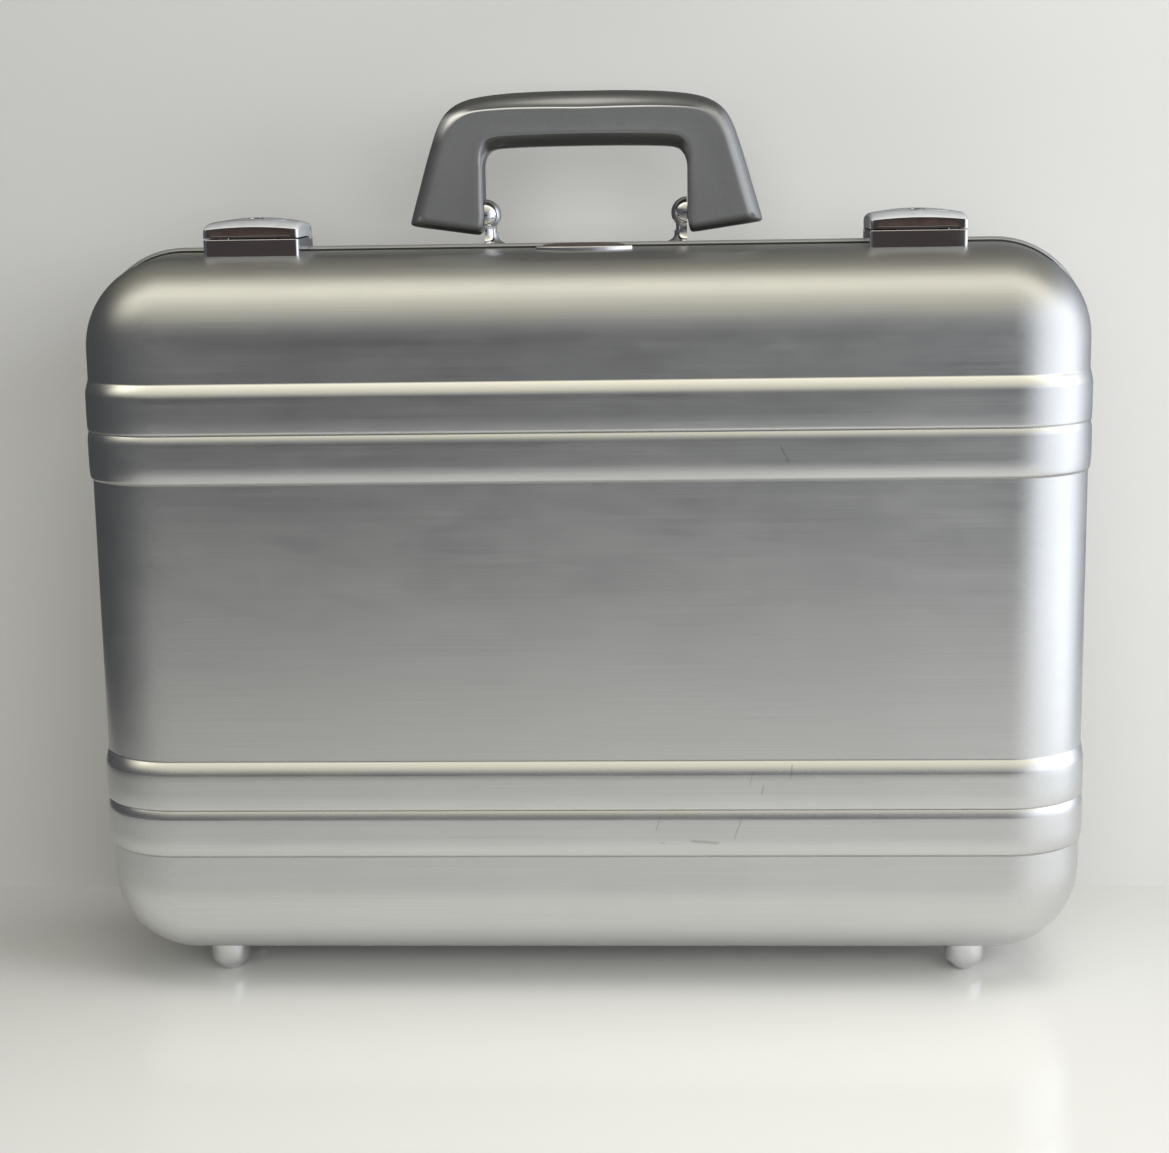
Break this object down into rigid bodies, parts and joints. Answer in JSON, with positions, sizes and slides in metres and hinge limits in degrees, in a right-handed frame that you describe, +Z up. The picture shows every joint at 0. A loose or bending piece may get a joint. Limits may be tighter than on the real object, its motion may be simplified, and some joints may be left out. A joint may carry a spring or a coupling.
{
  "type": "attache case",
  "caption": "Ribbed aluminium attache case: hinged lid, swinging carrying handle, chrome draw latches with key locks, piano hinge, slotted lid stays and a lined interior with pockets.",
  "frame": {"origin": "on the floor under the middle of the case, which stands on its feet; the parting plane of the shells is y = 0", "axes": "+X along the case's width to the right seen from the lid side, +Y from the lid to the base, +Z up"},
  "size_m": [0.4598, 0.1306, 0.413],
  "materials": {
    "shell_aluminium": "satin brushed",
    "frame_aluminium": "satin extruded",
    "gasket_rubber": "matt",
    "lining_cloth": "woven",
    "hinge_steel": "satin",
    "fastener_steel": "satin",
    "foot_metal": "satin turned",
    "chrome": "polished",
    "stay_steel": "satin",
    "badge_metal": "gloss",
    "organiser_leather": "fine grain",
    "handle_plastic": "satin metallic"
  },
  "bodies": {
    "base": {"base_shell": "shell_aluminium", "base_frame": "frame_aluminium", "rim_gasket": "gasket_rubber", "base_liner": "lining_cloth", "hinge_leaf_base": "hinge_steel", "hinge_pin": "hinge_steel", "hinge_rivets_base": "fastener_steel", "rear_feet": "foot_metal", "rear_foot_screws": "fastener_steel", "handle_post_left": "chrome", "handle_post_right": "chrome", "handle_post_screws": "fastener_steel", "latch_base_left": "chrome", "latch_base_right": "chrome", "latch_base_rivets": "fastener_steel", "latch_pin_left": "fastener_steel", "latch_pin_right": "fastener_steel", "stay_bracket_base_left": "stay_steel", "stay_bracket_base_right": "stay_steel", "stay_studs": "fastener_steel"},
    "lid": {"lid_shell": "shell_aluminium", "lid_frame": "frame_aluminium", "lid_liner": "lining_cloth", "hinge_leaf_lid": "hinge_steel", "hinge_rivets_lid": "fastener_steel", "front_feet": "foot_metal", "front_foot_screws": "fastener_steel", "latch_keeper_left": "chrome", "latch_keeper_right": "chrome", "latch_keeper_rivets": "fastener_steel", "badge_plate": "badge_metal", "stay_bracket_lid_left": "stay_steel", "stay_bracket_lid_right": "stay_steel", "stay_pivots": "fastener_steel", "document_pocket": "organiser_leather", "accessory_pocket": "organiser_leather", "card_pocket": "organiser_leather", "pen_loops": "organiser_leather"},
    "handle": {"handle_grip": "handle_plastic", "handle_pivot_pins": "fastener_steel"},
    "latch_lever_left": {"latch_lever_left": "chrome", "claw_pin_left": "fastener_steel"},
    "latch_claw_left": {"latch_claw_left": "fastener_steel"},
    "lock_plug_left": {"lock_plug_left": "chrome"},
    "stay_arm_left": {"stay_arm_left": "stay_steel"},
    "latch_lever_right": {"latch_lever_right": "chrome", "claw_pin_right": "fastener_steel"},
    "latch_claw_right": {"latch_claw_right": "fastener_steel"},
    "lock_plug_right": {"lock_plug_right": "chrome"},
    "stay_arm_right": {"stay_arm_right": "stay_steel"}
  },
  "joints": [
    {"name": "lid_hinge", "type": "hinge", "parent": "base", "child": "lid", "pos_m": [0, 0, 0.0108], "axis": [1, 0, 0], "range_deg": [0, 95]},
    {"name": "handle_turn", "type": "hinge", "parent": "base", "child": "handle", "pos_m": [0, 0.014, 0.3568], "axis": [1, 0, 0], "range_deg": [-90, 90]},
    {"name": "latch_open_left", "type": "hinge", "parent": "base", "child": "latch_lever_left", "pos_m": [-0.1505, 0.0075, 0.3515], "axis": [-1, 0, 0], "range_deg": [0, 80]},
    {"name": "claw_hook_left", "type": "hinge", "parent": "latch_lever_left", "child": "latch_claw_left", "pos_m": [-0.1505, -0.002, 0.3526], "axis": [1, 0, 0], "range_deg": [0, 7], "stiffness_Nm_per_rad": 0.004, "springref_deg": -11.46},
    {"name": "lock_turn_left", "type": "hinge", "parent": "latch_lever_left", "child": "lock_plug_left", "pos_m": [-0.1505, -0.012, 0.356], "axis": [0, 0, 1], "range_deg": [0, 90]},
    {"name": "stay_turn_left", "type": "hinge", "parent": "lid", "child": "stay_arm_left", "pos_m": [-0.184, -0.01, 0.0408], "axis": [1, 0, 0], "range_deg": [-47.5, 0]},
    {"name": "latch_open_right", "type": "hinge", "parent": "base", "child": "latch_lever_right", "pos_m": [0.1505, 0.0075, 0.3515], "axis": [-1, 0, 0], "range_deg": [0, 80]},
    {"name": "claw_hook_right", "type": "hinge", "parent": "latch_lever_right", "child": "latch_claw_right", "pos_m": [0.1505, -0.002, 0.3526], "axis": [1, 0, 0], "range_deg": [0, 7], "stiffness_Nm_per_rad": 0.004, "springref_deg": -11.46},
    {"name": "lock_turn_right", "type": "hinge", "parent": "latch_lever_right", "child": "lock_plug_right", "pos_m": [0.1505, -0.012, 0.356], "axis": [0, 0, 1], "range_deg": [0, 90]},
    {"name": "stay_turn_right", "type": "hinge", "parent": "lid", "child": "stay_arm_right", "pos_m": [0.184, -0.01, 0.0408], "axis": [1, 0, 0], "range_deg": [-47.5, 0]}
  ],
  "couplings": [
    {"joint": "stay_turn_left", "follows": "lid_hinge", "ratio": -0.5},
    {"joint": "stay_turn_right", "follows": "lid_hinge", "ratio": -0.5}
  ]
}
